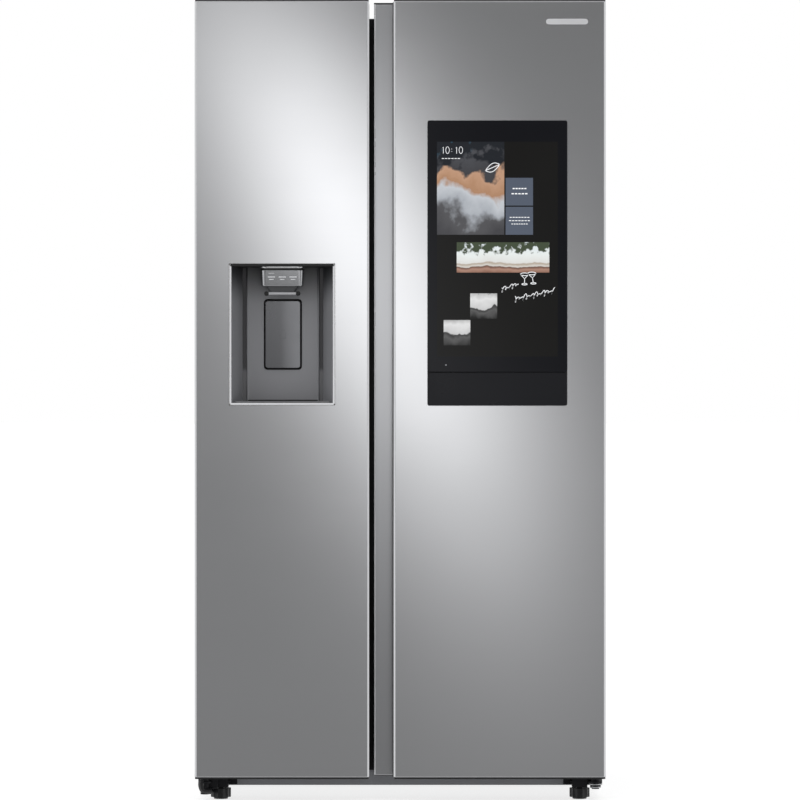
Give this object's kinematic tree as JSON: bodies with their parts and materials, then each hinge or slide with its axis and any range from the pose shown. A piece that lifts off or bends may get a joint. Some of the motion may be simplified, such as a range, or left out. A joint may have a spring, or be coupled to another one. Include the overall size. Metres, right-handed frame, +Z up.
{
  "type": "side by side refrigerator",
  "caption": "Tall two-door side by side refrigerator with full-length recessed finger pockets, an ice and water dispenser and a tall door display.",
  "frame": {"origin": "on the floor, under the middle of the whole object's bounding box", "axes": "+X to the viewer's right when facing the doors, +Y from the doors towards the back, +Z up"},
  "size_m": [0.911, 0.86, 1.778],
  "materials": {
    "stainless": "fine horizontal brushing, clear fingerprint coat",
    "side_paint": "stippled grey paint",
    "black_paint": "satin black powder coat",
    "zinc": "galvanised sheet",
    "foam": "closed-cell insulating foam",
    "white_liner": "vacuum-formed liner",
    "grey_plastic": "satin moulding",
    "silver_plastic": "metallic silver gloss",
    "black_plastic": "fine-textured moulding",
    "black_glass": "black printed cover glass",
    "rubber": "soft magnetic seal",
    "shelf_glass": "tempered glass in a plastic rim",
    "clear_plastic": "clear moulding"
  },
  "bodies": {
    "cabinet": {"cabinet_wrapper": "side_paint", "mullion_cover": "black_paint", "insulation_body": "foam", "back_panel": "zinc", "freezer_liner": "white_liner", "fridge_liner": "white_liner", "kick_plate": "side_paint", "base_pan": "zinc", "machine_cover": "zinc", "freezer_duct_cover": "white_liner", "evaporator": "zinc", "condenser": "zinc", "compressor": "black_paint", "water_valve": "white_liner", "cord_inlet": "black_plastic", "crisper_cover": "shelf_glass", "freezer_shelf_1": "shelf_glass", "freezer_shelf_2": "shelf_glass", "fridge_shelf_1": "shelf_glass", "fridge_shelf_2": "shelf_glass", "freezer_top_hinge": "zinc", "fridge_top_hinge": "zinc", "freezer_hinge_cover": "grey_plastic", "fridge_hinge_cover": "grey_plastic", "freezer_lower_hinge": "black_paint", "fridge_lower_hinge": "black_paint"},
    "freezer_door": {"freezer_door_skin": "stainless", "freezer_door_core": "foam", "freezer_door_liner": "white_liner", "freezer_door_top_cap": "grey_plastic", "freezer_door_bottom_cap": "black_plastic", "freezer_gasket": "rubber", "ice_maker": "white_liner", "ice_bucket": "clear_plastic", "freezer_bin_1": "clear_plastic", "freezer_bin_2": "clear_plastic", "dispenser_housing": "grey_plastic", "dispenser_panel": "silver_plastic", "ice_chute": "black_plastic"},
    "fridge_door": {"fridge_door_skin": "stainless", "handle_strip": "stainless", "fridge_door_core": "foam", "fridge_door_liner": "white_liner", "fridge_door_top_cap": "grey_plastic", "fridge_door_bottom_cap": "black_plastic", "fridge_gasket": "rubber", "fridge_bin_1": "clear_plastic", "fridge_bin_2": "clear_plastic", "display_housing": "black_plastic", "display_glass": "black_glass"},
    "paddle": {"dispenser_paddle": "grey_plastic"},
    "grille": {"drip_grille": "black_plastic"},
    "freezer_drawer_body": {"freezer_drawer": "clear_plastic"},
    "crisper_lower_body": {"crisper_lower": "clear_plastic"},
    "crisper_upper_body": {"crisper_upper": "clear_plastic"},
    "fan": {"condenser_fan": "black_plastic"},
    "left_roller": {"roller_left": "black_plastic"},
    "right_roller": {"roller_right": "black_plastic"},
    "left_foot": {"freezer_levelling_foot": "black_plastic"},
    "right_foot": {"fridge_levelling_foot": "black_plastic"}
  },
  "joints": [
    {"name": "freezer_door_hinge", "type": "hinge", "parent": "cabinet", "child": "freezer_door", "pos_m": [-0.4355, -0.356, 0.9], "axis": [0, 0, -1], "range_deg": [0, 120]},
    {"name": "fridge_door_hinge", "type": "hinge", "parent": "cabinet", "child": "fridge_door", "pos_m": [0.4355, -0.356, 0.9], "axis": [0, 0, 1], "range_deg": [0, 120]},
    {"name": "paddle_hinge", "type": "hinge", "parent": "freezer_door", "child": "paddle", "pos_m": [-0.26175, -0.3505, 1.1084], "axis": [1, 0, 0], "range_deg": [0, 7.5], "stiffness_Nm_per_rad": 0.6, "springref_deg": -14.32},
    {"name": "grille_lift", "type": "slide", "parent": "freezer_door", "child": "grille", "axis": [0, 0, 1], "range_m": [0, 0.025]},
    {"name": "freezer_drawer_slide", "type": "slide", "parent": "cabinet", "child": "freezer_drawer_body", "axis": [0, -1, 0], "range_m": [0, 0.095]},
    {"name": "crisper_lower_slide", "type": "slide", "parent": "cabinet", "child": "crisper_lower_body", "axis": [0, -1, 0], "range_m": [0, 0.095]},
    {"name": "crisper_upper_slide", "type": "slide", "parent": "cabinet", "child": "crisper_upper_body", "axis": [0, -1, 0], "range_m": [0, 0.095]},
    {"name": "condenser_fan_spin", "type": "hinge", "parent": "cabinet", "child": "fan", "pos_m": [0.191, 0.308, 0.15], "axis": [1, 0, 0], "continuous": true},
    {"name": "left_roller_spin", "type": "hinge", "parent": "cabinet", "child": "left_roller", "pos_m": [-0.4, 0.38, 0.019], "axis": [1, 0, 0], "continuous": true},
    {"name": "right_roller_spin", "type": "hinge", "parent": "cabinet", "child": "right_roller", "pos_m": [0.4, 0.38, 0.019], "axis": [1, 0, 0], "continuous": true},
    {"name": "left_foot_turn", "type": "hinge", "parent": "cabinet", "child": "left_foot", "pos_m": [-0.401, -0.328, 0.01], "axis": [0, 0, 1], "continuous": true},
    {"name": "right_foot_turn", "type": "hinge", "parent": "cabinet", "child": "right_foot", "pos_m": [0.401, -0.328, 0.01], "axis": [0, 0, 1], "continuous": true}
  ]
}
